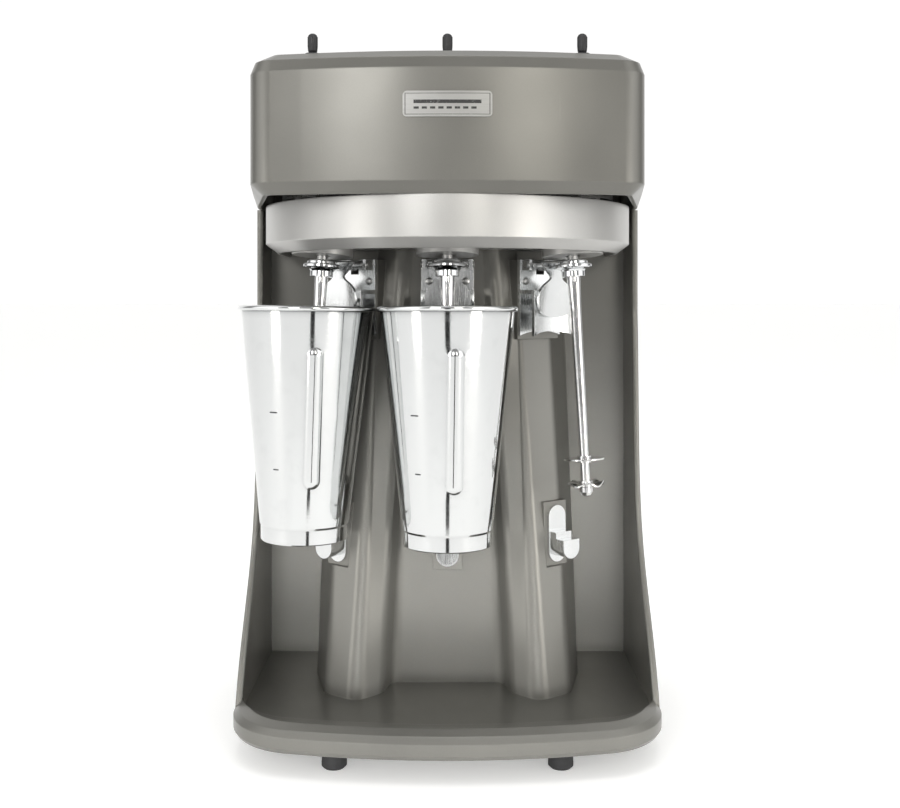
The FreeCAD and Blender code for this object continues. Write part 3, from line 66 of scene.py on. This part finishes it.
class Shader:
    """One node material on Principled BSDF, with short calls for the nodes that shape it."""

    def __init__(self, name, color, metallic, roughness, **sockets):
        self.material = bpy.data.materials.new(name)
        self.material.use_nodes = True
        self.tree = self.material.node_tree
        self.bsdf = self.tree.nodes["Principled BSDF"]
        self.bsdf.inputs["Base Color"].default_value = (*color, 1)
        self.bsdf.inputs["Metallic"].default_value = metallic
        self.bsdf.inputs["Roughness"].default_value = roughness
        for socket, value in sockets.items():
            self.bsdf.inputs[socket.replace("_", " ")].default_value = value
        self.coords = self.node("ShaderNodeTexCoord").outputs["Object"]
        self.normal = None

    def node(self, kind, **fields):
        made = self.tree.nodes.new(kind)
        for field, value in fields.items():
            setattr(made, field, value)
        return made

    def link(self, out, into):
        self.tree.links.new(out, into)

    def stretched(self, scale, turn=(0, 0, 0)):
        """The object's coordinates in metres, times a scale for each axis."""
        made = self.node("ShaderNodeMapping")
        made.inputs["Scale"].default_value = scale
        made.inputs["Rotation"].default_value = [math.radians(a) for a in turn]
        self.link(self.coords, made.inputs["Vector"])
        return made.outputs["Vector"]

    def noise(self, scale, detail=4, rough=0.55, stretch=None, turn=(0, 0, 0), warp=0):
        made = self.node("ShaderNodeTexNoise")
        made.inputs["Scale"].default_value = scale
        made.inputs["Detail"].default_value = detail
        made.inputs["Roughness"].default_value = rough
        made.inputs["Distortion"].default_value = warp
        self.link(self.stretched(stretch, turn) if stretch else self.coords, made.inputs["Vector"])
        return made.outputs["Fac"]

    def cells(self, scale):
        made = self.node("ShaderNodeTexVoronoi", feature="F1")
        made.inputs["Scale"].default_value = scale
        self.link(self.coords, made.inputs["Vector"])
        return made.outputs["Distance"]

    def span(self, value, low, high, into_low=0.35, into_high=0.65):
        """value, between into_low and into_high, spread from low to high."""
        made = self.node("ShaderNodeMapRange")
        set_range(made, into_low, into_high, low, high)
        self.link(value, made.inputs["Value"])
        return made.outputs["Result"]

    def math(self, operation, a, b):
        made = self.node("ShaderNodeMath", operation=operation)
        for k, value in enumerate((a, b)):
            if isinstance(value, (int, float)):
                made.inputs[k].default_value = value
            else:
                self.link(value, made.inputs[k])
        return made.outputs["Value"]

    def mix(self, factor, a, b):
        """Colour a where factor is 0, b where it is 1."""
        made = self.node("ShaderNodeMix", data_type="RGBA")
        for socket, value in ((made.inputs[0], factor), (made.inputs[6], a), (made.inputs[7], b)):
            if isinstance(value, (tuple, list)):
                socket.default_value = (*value, 1)
            else:
                self.link(value, socket)
        return made.outputs[2]

    def color(self, value):
        self.link(value, self.bsdf.inputs["Base Color"])

    def roughness(self, value):
        self.link(value, self.bsdf.inputs["Roughness"])

    def bump(self, height, strength, depth_mm):
        """Adds a relief of that depth to the surface."""
        made = self.node("ShaderNodeBump")
        made.inputs["Strength"].default_value = strength
        made.inputs["Distance"].default_value = depth_mm * MM
        self.link(height, made.inputs["Height"])
        if self.normal is not None:
            self.link(self.normal, made.inputs["Normal"])
        self.normal = made.outputs["Normal"]
        self.link(self.normal, self.bsdf.inputs["Normal"])

    def groove_shade(self, reach_mm):
        """1 in corners and grooves, where shade is painted into the colour, 0 on open faces."""
        shade = self.node("ShaderNodeAmbientOcclusion", samples=8)
        shade.inputs["Distance"].default_value = reach_mm * MM
        return self.span(shade.outputs["AO"], 1, 0, 0.5, 0.98)

    def soft_edges(self, radius_mm):
        """Shades sharp edges as rounded, and gives 1 on them and 0 on flat faces."""
        bevel = self.node("ShaderNodeBevel", samples=4)
        bevel.inputs["Radius"].default_value = radius_mm * MM
        self.normal = bevel.outputs["Normal"]
        flat = self.node("ShaderNodeNewGeometry").outputs["Normal"]
        turn = self.node("ShaderNodeVectorMath", operation="DOT_PRODUCT")
        self.link(self.normal, turn.inputs[0])
        self.link(flat, turn.inputs[1])
        return self.span(turn.outputs["Value"], 1, 0, 0.80, 0.97)


def toned(color, factor):
    """A colour made darker or lighter by that factor, up to white."""
    return tuple(min(1, c * factor) for c in color)


def metallic_paint(name, color, metallic, rough, texture=1.0):
    """Sprayed metallic paint on a casting: fine flakes, orange peel, faint scratches, edges rubbed bright."""
    s = Shader(name, color, metallic, rough, Coat_Weight=0.08, Coat_Roughness=0.2)
    edges = s.soft_edges(1.2)
    cloud = s.noise(9, 3)
    flakes = s.cells(2600)
    tone = s.mix(s.span(cloud, 0, 1), toned(color, 0.93), toned(color, 1.06))
    tone = s.mix(s.span(flakes, 0.22, 0, 0.05, 0.6), tone, toned(color, 1.5))
    hair = s.noise(300, 2, 0.5, stretch=(1, 1, 0.06), turn=(0, 14, 0), warp=0.1)
    scratch = s.math("MULTIPLY", s.span(hair, 0, 1, 0.74, 0.78), 0.2 * texture)
    rubbed = s.math("MULTIPLY", edges, s.span(s.noise(70, 5, 0.7), 0, 0.45, 0.45, 0.7))
    tone = s.mix(rubbed, tone, toned(color, 1.9))
    s.color(s.mix(scratch, tone, toned(color, 1.5)))
    gloss = s.span(s.noise(14, 3), rough - 0.02, rough + 0.03)
    s.roughness(s.math("ADD", gloss, s.math("MULTIPLY", scratch, 0.2)))
    s.bump(s.noise(1400, 3), 0.10 * texture, 0.04)
    s.bump(s.noise(320, 2), 0.05 * texture, 0.05)
    return s.material


def polished(name, color, rough, grain=(1, 1, 1)):
    """Plated or polished metal: a faint directional grain, smudges, hairline scratches and bright edges."""
    s = Shader(name, color, 1.0, rough)
    edges = s.soft_edges(0.4)
    lines = s.noise(1800, 3, 0.6, stretch=grain)
    smudge = s.noise(38, 4, 0.6)
    hair = s.noise(240, 2, 0.5, stretch=(0.15, 1, 1), turn=(0, 31, 24), warp=0.2)
    scratch = s.span(hair, 0, 1, 0.70, 0.74)
    tint = s.mix(s.span(smudge, 0, 1), toned(color, 0.95), color)
    tint = s.mix(s.math("MULTIPLY", edges, 0.3), tint, toned(color, 1.12))
    s.color(s.mix(s.math("MULTIPLY", scratch, 0.12), tint, toned(color, 0.75)))
    base = s.span(lines, rough * 0.75, rough * 1.35)
    s.roughness(s.math("ADD", base, s.math("MULTIPLY", s.span(smudge, 0, 1, 0.5, 0.72), rough * 0.5)))
    s.bump(lines, 0.25, 0.02)
    return s.material


def spun_steel(name, lean, turn):
    """Spun stainless cup: grain runs round the cup, with water spots, and painted shade that darkens its corners
    and grooves.
    """
    s = Shader(name, (0.7, 0.71, 0.71), 1.0, 0.14)
    rings = s.noise(1500, 4, 0.65, stretch=(0.02, 0.02, 1), turn=(lean, 0, turn))
    bands = s.noise(70, 3, 0.6, stretch=(0.05, 0.05, 1), turn=(lean, 0, turn))
    spots = s.noise(85, 3, 0.5)
    clean = s.mix(s.span(spots, 0, 0.35, 0.55, 0.8), (0.74, 0.75, 0.75), (0.64, 0.65, 0.65))
    # Painted shade: the colour turns nearly black in corners and grooves, standing in for the dark reflections
    # along the flutes.
    s.color(s.mix(s.groove_shade(6), clean, (0.10, 0.10, 0.11)))
    grain = s.math("ADD", s.span(rings, -0.035, 0.05), s.span(bands, 0.07, 0.10))
    s.roughness(s.math("ADD", grain, s.span(spots, 0, 0.05, 0.5, 0.8)))
    s.bump(rings, 0.3, 0.02)
    s.bump(bands, 0.08, 0.06)
    return s.material


def cast_metal(name, color, rough):
    """Sand-cast aluminium: a dull pebbled skin, darker in its pits."""
    s = Shader(name, color, 0.9, rough)
    s.soft_edges(0.8)
    pits = s.noise(420, 6, 0.65)
    s.color(s.mix(s.span(pits, 0, 1, 0.3, 0.6), toned(color, 0.55), color))
    s.roughness(s.span(s.noise(60, 4), rough - 0.08, rough + 0.1))
    s.bump(pits, 0.5, 0.15)
    s.bump(s.noise(60, 3), 0.2, 0.3)
    return s.material


def moulded(name, color, rough, grain=1.0):
    """Moulded plastic or rubber: a spark-eroded grain, paler along its edges, and some dust."""
    s = Shader(name, color, 0.0, rough, Specular_IOR_Level=0.4)
    edges = s.soft_edges(0.5)
    grit = s.noise(1500, 4, 0.7)
    dust = s.noise(45, 5, 0.6)
    pale = tuple(c + 0.05 for c in color)
    dusty = s.math("MULTIPLY", s.span(dust, 0, 1, 0.5, 0.8), 0.5)
    s.color(s.mix(s.math("MAXIMUM", dusty, s.math("MULTIPLY", edges, 0.4)), color, pale))
    s.roughness(s.span(dust, rough - 0.08, rough + 0.1))
    s.bump(grit, 0.3 * grain, 0.08)
    s.bump(s.noise(120, 2), 0.1, 0.15)
    return s.material


def copper_wire(name):
    """Enamelled copper: warm, with uneven varnish."""
    s = Shader(name, (0.62, 0.25, 0.10), 1.0, 0.3, Coat_Weight=0.6, Coat_Roughness=0.2)
    varnish = s.noise(160, 4, 0.6)
    s.color(s.mix(s.span(varnish, 0, 1), (0.40, 0.14, 0.05), (0.72, 0.31, 0.13)))
    s.roughness(s.span(varnish, 0.22, 0.4))
    s.bump(s.noise(2200, 2), 0.15, 0.03)
    return s.material


def enamel(name, color):
    """Printed or etched black mark, worn thin in places."""
    s = Shader(name, color, 0.0, 0.5)
    worn = s.noise(900, 4, 0.6)
    s.color(s.mix(s.span(worn, 0, 1, 0.55, 0.75), color, (0.20, 0.20, 0.20)))
    s.roughness(s.span(worn, 0.42, 0.65))
    s.bump(worn, 0.15, 0.03)
    return s.material


BODY_GREY = (0.160, 0.157, 0.143)
LOOKS = {
    "paint": metallic_paint("stand_paint", BODY_GREY, 0.52, 0.30),
    # The head cover's paint is the stand's grey darkened to 0.8. This is painted shade, because the head catches
    # more of the lights than the stand.
    "cover_paint": metallic_paint("cover_paint", toned(BODY_GREY, 0.80), 0.66, 0.18),
    "silver": metallic_paint("silver_paint", (0.46, 0.456, 0.443), 0.6, 0.34, texture=0.2),
    "badge": polished("badge_plate", (0.34, 0.34, 0.33), 0.38, grain=(0.03, 1, 1)),
    "chrome": polished("chrome_plate", (0.72, 0.73, 0.74), 0.07),
    "stainless": polished("stainless_steel", (0.70, 0.70, 0.70), 0.12, grain=(1, 1, 0.05)),
    "rubber": moulded("black_rubber", (0.022, 0.022, 0.023), 0.72),
    "black_plastic": moulded("black_plastic", (0.018, 0.018, 0.020), 0.42, grain=0.5),
    "steel": polished("zinc_steel", (0.58, 0.58, 0.57), 0.30),
    "bare_aluminium": cast_metal("cast_aluminium", (0.55, 0.55, 0.54), 0.48),
    "carbon": moulded("carbon_brush", (0.045, 0.045, 0.048), 0.55),
}
BRUSHED = polished("brushed_chrome", (0.76, 0.77, 0.77), 0.20, grain=(1, 1, 0.05))
COPPER = copper_wire("enamelled_copper")
ETCH = enamel("black_etch", (0.012, 0.012, 0.012))

for part in frame["record"]["subparts"]:
    node = NODES[part["node"]]
    node.data.materials.clear()
    node.data.materials.append(LOOKS[part["material_slot"]])
for name in RIM_CENTRES:
    for part_name in ("cup_guide", "cup_rest", "switch_lever"):
        NODES[f"{name}_{part_name}"].data.materials[0] = BRUSHED
for name in ("left", "centre"):
    cup_mesh = NODES[f"{name}_cup"].data
    cup_mesh.materials.clear()
    cup_mesh.materials.append(spun_steel(f"{name}_cup_steel", CUP_LEAN, -RIM_CENTRES[name][2]))


# ---------------------------------------------------------------- camera, floor and light

CAMERA_PLACE, LENS, CAMERA_SHIFT = (0, -0.851, 0.333), 43.4, (0.0028, -0.121)
FLOOR_HALF = 40
# The dark camera stand that bright metal mirrors: half its width, its lower and upper edge and its place in Y.
STAND_HALF, STAND_LOW, STAND_HIGH, STAND_Y = 0.028, 0.03, 0.36, -0.44
# Soft lights round the front, 1.7 m away: azimuth from -Y and width in degrees, lower and upper edge in
# metres, glow in the world's own unit, colour.
SOFTBOX_FAR, SOFTBOX_SPREAD = 1.7, 90
SOFTBOXES = [("soft_left", -19, 15, 0.60, 1.9, 10.0, (1.0, 0.99, 0.97)),
             ("soft_right", 17, 11, 0.60, 1.9, 8.6, (1.0, 0.97, 0.90)),
             ("low_left", -52, 14, 0.02, 0.50, 4.5, (1.0, 0.97, 0.92)),
             ("low_right", 48, 18, 0.02, 0.50, 6.0, (1.0, 0.96, 0.90))]
# The surround's glow by azimuth from -Y, the same on both sides, from behind the machine to its front.
SURROUND = [(180, 1.03), (135, 1.03), (118, 0.25), (102, 0.25), (88, 1.3), (62, 2.0), (50, 1.5),
            (38, 0.34), (0, 0.34)]
# The surround fades between these two sines of elevation, down to this share of its glow.
DOME_LOW, DOME_HIGH, DOME_GLOW = 0.45, 0.8, 0.5
BACKDROP = (1.03, 1.027, 1.02)


def area_light(name, place, target, size, power, color=(1, 1, 1), spread=180):
    """A rectangular light; a narrower spread in degrees keeps the glow along its axis, with less power."""
    data = bpy.data.lights.new(name, "AREA")
    half = math.radians(spread / 2)
    power *= 1 - half / math.tan(half)
    data.spread = 2 * half
    data.shape = "RECTANGLE"
    data.size, data.size_y = size
    data.energy = power
    data.color = color
    lamp = bpy.data.objects.new(name, data)
    lamp.location = place
    lamp.rotation_euler = (Vector(target) - Vector(place)).to_track_quat("-Z", "Y").to_euler()
    bpy.context.scene.collection.objects.link(lamp)
    return lamp


def surround(tree):
    """A white backdrop whose light is bright from the front corners, and dim from beside and before."""
    nodes, links = tree.nodes, tree.links
    direction = nodes.new("ShaderNodeTexCoord").outputs["Generated"]
    flat = nodes.new("ShaderNodeVectorMath")
    flat.operation = "MULTIPLY"
    flat.inputs[1].default_value = (1, 1, 0)
    links.new(direction, flat.inputs[0])
    unit = nodes.new("ShaderNodeVectorMath")
    unit.operation = "NORMALIZE"
    links.new(flat.outputs["Vector"], unit.inputs[0])
    parts = nodes.new("ShaderNodeSeparateXYZ")
    links.new(unit.outputs["Vector"], parts.inputs["Vector"])
    share = nodes.new("ShaderNodeMapRange")
    set_range(share, 1, -1, 0, 1)
    links.new(parts.outputs["Y"], share.inputs["Value"])
    ramp = nodes.new("ShaderNodeValToRGB")
    ramp.color_ramp.interpolation = "EASE"
    while len(ramp.color_ramp.elements) < len(SURROUND):
        ramp.color_ramp.elements.new(0.5)
    for element, (azimuth, glow) in zip(ramp.color_ramp.elements, SURROUND):
        element.position = 0.5 - 0.5 * math.cos(math.radians(180 - azimuth))
        element.color = (glow, glow * 0.997, glow * 0.99, 1)
    links.new(share.outputs["Result"], ramp.inputs["Fac"])
    height = nodes.new("ShaderNodeSeparateXYZ")
    links.new(direction, height.inputs["Vector"])
    dome = nodes.new("ShaderNodeMapRange")
    dome.interpolation_type = "SMOOTHSTEP"
    set_range(dome, DOME_LOW, DOME_HIGH, 1.0, DOME_GLOW)
    links.new(height.outputs["Z"], dome.inputs["Value"])
    shade = nodes.new("ShaderNodeVectorMath")
    shade.operation = "MULTIPLY"
    links.new(ramp.outputs["Color"], shade.inputs[0])
    links.new(dome.outputs["Result"], shade.inputs[1])
    seen = nodes.new("ShaderNodeMix")
    seen.data_type = "RGBA"
    seen.inputs[7].default_value = (*BACKDROP, 1)
    links.new(nodes.new("ShaderNodeLightPath").outputs["Is Camera Ray"], seen.inputs[0])
    links.new(shade.outputs["Vector"], seen.inputs[6])
    links.new(seen.outputs[2], nodes["Background"].inputs["Color"])
    nodes["Background"].inputs["Strength"].default_value = 1.0


def add_card(name, corners, material):
    """A flat four-cornered piece of the studio."""
    mesh = bpy.data.meshes.new(name)
    mesh.from_pydata(corners, [], [(0, 1, 2, 3)])
    mesh.materials.append(material)
    card = bpy.data.objects.new(name, mesh)
    bpy.context.scene.collection.objects.link(card)
    return card


def studio():
    """The camera, the floor, what the metal mirrors, and the lights."""
    camera = bpy.data.objects.new("camera", bpy.data.cameras.new("camera"))
    camera.location = CAMERA_PLACE
    camera.rotation_euler = (math.radians(90), 0, 0)
    camera.data.lens = LENS
    camera.data.sensor_width = 36
    camera.data.shift_x, camera.data.shift_y = CAMERA_SHIFT
    camera.data.clip_start = 0.01
    bpy.context.scene.collection.objects.link(camera)
    bpy.context.scene.camera = camera

    pale = Shader("pale_floor", (0.90, 0.90, 0.89), 0.0, 0.7, Emission_Color=(1, 1, 1, 1),
                  Emission_Strength=0.30)
    pale.roughness(pale.span(pale.noise(3, 2), 0.66, 0.74))
    add_card("floor", [(x * FLOOR_HALF, y * FLOOR_HALF, 0) for x, y in ((-1, -1), (1, -1), (1, 1), (-1, 1))],
             pale.material)

    corners = ((-STAND_HALF, STAND_LOW), (STAND_HALF, STAND_LOW), (STAND_HALF, STAND_HIGH),
               (-STAND_HALF, STAND_HIGH))
    stand = add_card("camera_stand", [(x, STAND_Y, z) for x, z in corners],
                     Shader("stand_black", (0.01, 0.01, 0.01), 0.0, 0.8).material)
    stand.visible_camera = stand.visible_diffuse = False
    stand.visible_shadow = stand.visible_transmission = False

    world = bpy.data.worlds.new("studio")
    world.use_nodes = True
    surround(world.node_tree)
    bpy.context.scene.world = world
    bpy.context.scene.view_settings.view_transform = "Standard"

    for name, azimuth, width, low, high, glow, color in SOFTBOXES:
        turn = math.radians(azimuth)
        size = (2 * SOFTBOX_FAR * math.tan(math.radians(width / 2)), high - low)
        middle = (low + high) / 2
        place = (SOFTBOX_FAR * math.sin(turn), -SOFTBOX_FAR * math.cos(turn), middle)
        power = glow * math.pi * size[0] * size[1]
        area_light(name, place, (0, 0, middle), size, power, color, SOFTBOX_SPREAD)
    area_light("top", (0, -0.2, 2.2), (0, 0, 0.3), (1.2, 0.9), 9)
    fill = area_light("low_front", (0, -0.98, 0.10), (0, 0, 0.10), (0.66, 0.14), 50, spread=25)
    fill.visible_glossy = False
    sun = bpy.data.objects.new("sky_fill", bpy.data.lights.new("sky_fill", "SUN"))
    sun.data.energy = 0.4
    sun.data.angle = math.radians(120)
    bpy.context.scene.collection.objects.link(sun)


studio()


# ---------------------------------------------------------------- extra pieces

def add_mesh(name, mesh_data, look, body):
    """A finished bmesh as a piece that rides on a CAD body."""
    mesh = bpy.data.meshes.new(name)
    mesh_data.to_mesh(mesh)
    mesh_data.free()
    mesh.materials.append(look)
    piece = bpy.data.objects.new(name, mesh)
    bpy.context.scene.collection.objects.link(piece)
    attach(piece, body)


def cup_matrix(name):
    """The frame at a cup's foot, in metres: +Z up the cup, +Y towards the column."""
    x, y, turn = RIM_CENTRES[name]
    slope = math.radians(CUP_LEAN)
    foot = Vector((0, -CUP_TALL * math.sin(slope), RIM_Z - CUP_TALL * math.cos(slope)))
    mount = Matrix.Translation((x, y, 0)) @ Matrix.Rotation(math.radians(turn), 4, "Z")
    tilt = Matrix.Rotation(-slope, 4, "X")
    return Matrix.Scale(MM, 4) @ mount @ Matrix.Translation(foot) @ tilt


def wall_radius(height):
    """The cup's outer radius at that height over its foot."""
    share = (height - CUP_FOOT) / (CUP_TALL - ROLL_RAD - CUP_FOOT)
    return CUP_LOW_RAD + share * (CUP_TOP_RAD - CUP_LOW_RAD)


def graduations(name):
    """Two short filling marks, proud of the cup's wall and tapered at their ends."""
    marks = bmesh.new()
    turn = FLUTE_TURN[name] - MARK_TURN
    columns = 8
    for height, width in MARKS:
        radius = wall_radius(height)
        span = math.degrees(width / radius)
        rings = []
        for k in range(columns + 1):
            angle = math.radians(turn - 90 + span * (k / columns - 0.5))
            taper = math.sin(math.pi * (0.12 + 0.76 * k / columns))
            section = ((-0.3, -0.55), (0.22 * taper, -0.32), (0.30 * taper, 0), (0.22 * taper, 0.32),
                       (-0.3, 0.55))
            across, along = math.cos(angle), math.sin(angle)
            rings.append([marks.verts.new(((radius + out) * across, (radius + out) * along, height + up))
                          for out, up in section])
        for a, b in zip(rings, rings[1:]):
            for j in range(4):
                marks.faces.new((a[j], b[j], b[j + 1], a[j + 1]))
            marks.faces.new((a[4], b[4], b[0], a[0]))
        marks.faces.new(rings[0])
        marks.faces.new(rings[-1][::-1])
    marks.transform(cup_matrix(name))
    bmesh.ops.recalc_face_normals(marks, faces=marks.faces)
    add_mesh(f"{name}_cup_graduations", marks, ETCH, f"{name}_cup_body")


def badge_marks():
    """A plain border, a bar and a row of dashes, raised on the blank plate and curved with it."""
    low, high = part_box("nameplate")
    middle, front = (low.z + high.z) / 2 / MM, low.y / MM
    half, tall = (high.x - low.x) / 2 / MM, (high.z - low.z) / MM
    edge, line = 1.7, 0.5
    reach, rise = half - edge, tall / 2 - edge
    inner = reach * 0.8
    dash_pitch, dash_long, dash_tall, dash_rise = 5.6, 3.6, 1.7, -2.7
    bar_tall, bar_rise = 2.6, 1.5
    # Each bar: where it starts and ends in X, its middle over the plate's middle, and its height.
    bars = [(-reach, reach, rise, line), (-reach, reach, -rise, line), (-inner, inner, bar_rise, bar_tall)]
    bars += [(side * reach - line / 2, side * reach + line / 2, 0, 2 * rise + line) for side in (-1, 1)]
    bars += [(k * dash_pitch - inner, k * dash_pitch - inner + dash_long, dash_rise, dash_tall)
             for k in range(8)]
    sunk, proud, slope = 0.2, 0.02, 0.08
    marks = bmesh.new()
    for start, end, height, width in bars:
        columns = max(1, round((end - start) / 2))
        rings = []
        for k in range(columns + 1):
            x = start + (end - start) * k / columns
            y = front + x * x / (2 * HEAD_FRONT_RAD)
            up, down = middle + height + width / 2, middle + height - width / 2
            section = ((y + sunk, down), (y - proud, down + slope), (y - proud, up - slope), (y + sunk, up))
            rings.append([marks.verts.new((x * MM, depth * MM, z * MM)) for depth, z in section])
        for a, b in zip(rings, rings[1:]):
            for j in range(4):
                marks.faces.new((a[j], b[j], b[(j + 1) % 4], a[(j + 1) % 4]))
        marks.faces.new(rings[0])
        marks.faces.new(rings[-1][::-1])
    bmesh.ops.recalc_face_normals(marks, faces=marks.faces)
    add_mesh("nameplate_marks", marks, ETCH, "machine")


def spindle_matrix(name):
    """A drive's own frame, in metres: its origin at the foot of the head's boss, +Z up the leaning shaft."""
    spin = [j for j in frame["joints"] if j["name"] == f"{name}_spindle_spin"][0]
    axis = Vector(spin["axis"])
    if axis.z < 0:
        axis = -axis
    return Matrix.Translation(Vector(spin["pos_m"])) @ axis.to_track_quat("Z", "Y").to_matrix().to_4x4()


def add_ring(mesh_data, radius, height, wire, wobble):
    """One closed turn of wire round the shaft, a little uneven."""
    around, across = 40, 6
    rings = []
    for k in range(around):
        angle = 2 * math.pi * k / around
        shift = wobble * math.sin(3 * angle + 7 * height)
        ring = []
        for j in range(across):
            lean = 2 * math.pi * j / across
            r = radius + shift + wire * math.cos(lean)
            ring.append(mesh_data.verts.new((r * math.cos(angle) * MM, r * math.sin(angle) * MM,
                                             (height + wire * math.sin(lean)) * MM)))
        rings.append(ring)
    for k in range(around):
        a, b = rings[k], rings[(k + 1) % around]
        for j in range(across):
            mesh_data.faces.new((a[j], b[j], b[(j + 1) % across], a[(j + 1) % across]))


def windings(name):
    """Enamelled wire laid in turns over both coils of a motor's stator."""
    turns = bmesh.new()
    wire, proud, wobble = 0.42, 0.1, 0.05
    for low in COIL_LOWS:
        for k in range(int(COIL_TALL / (2 * wire))):
            height = low + wire * (2 * k + 1)
            add_ring(turns, COIL_OUT + proud, height, wire, wobble)
            add_ring(turns, COIL_IN - proud, height, wire, wobble)
    turns.transform(spindle_matrix(name))
    bmesh.ops.recalc_face_normals(turns, faces=turns.faces)
    for face in turns.faces:
        face.smooth = True
    add_mesh(f"{name}_motor_windings", turns, COPPER, "machine")


for name in ("left", "centre"):
    graduations(name)
for name in RIM_CENTRES:
    windings(name)
badge_marks()
